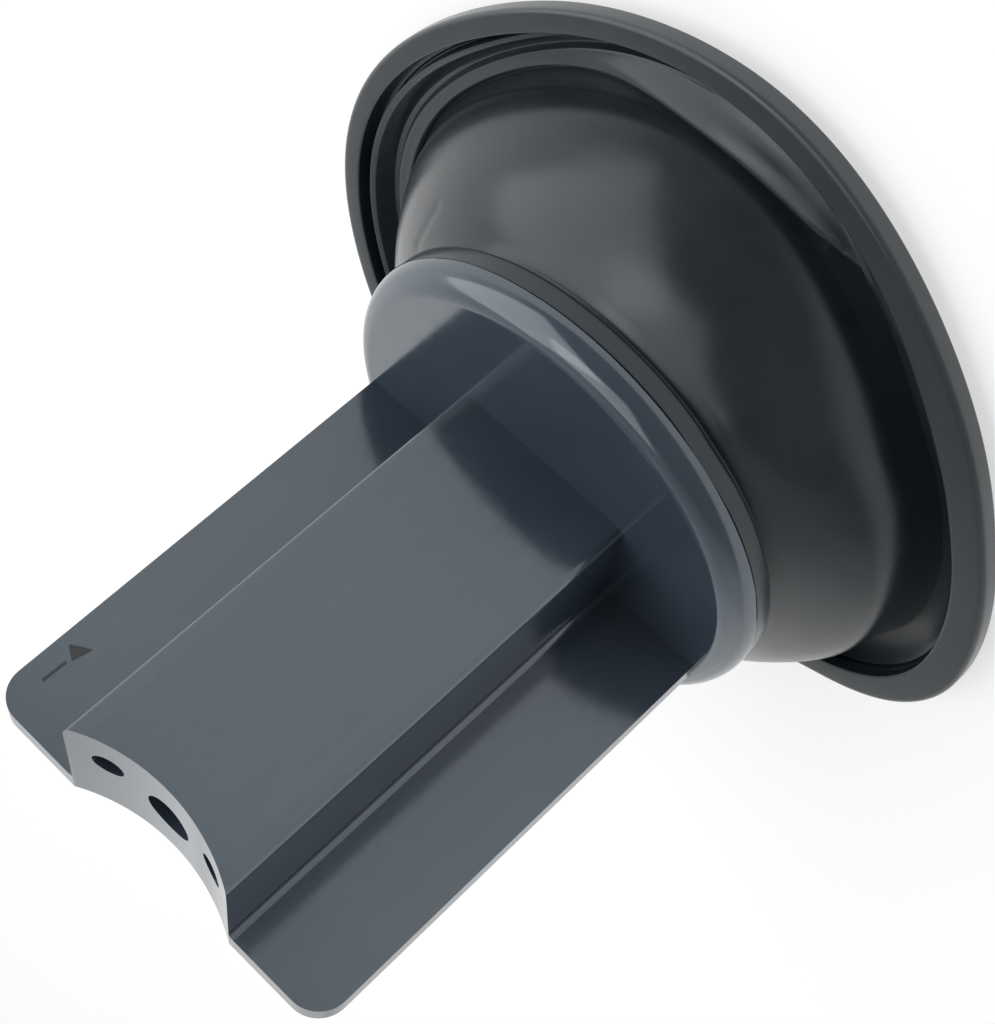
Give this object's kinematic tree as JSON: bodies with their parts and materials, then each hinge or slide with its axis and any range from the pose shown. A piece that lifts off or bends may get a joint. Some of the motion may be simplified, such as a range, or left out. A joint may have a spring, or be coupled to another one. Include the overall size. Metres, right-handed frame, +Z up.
{
  "type": "carburettor diaphragm",
  "caption": "Vacuum slide with guide wings and a hollow centre block, hung in a moulded rubber diaphragm with a bowl wall, a rolled trough and a beaded rim.",
  "frame": {"origin": "centre of the rim's seat, in the plane that the part stands on", "axes": "+Z up, from the rubber rim towards the end of the slide; -Y is the front, on the side of the centre block; +X to the right seen from the front"},
  "size_m": [0.0736, 0.0736, 0.0625],
  "materials": {
    "slide_plastic": "semi-gloss moulded plastic",
    "ring_plastic": "satin moulded plastic",
    "rubber": "satin moulded rubber"
  },
  "bodies": {
    "root": {"vacuum_slide": "slide_plastic", "retaining_ring": "ring_plastic", "diaphragm": "rubber"}
  },
  "joints": []
}
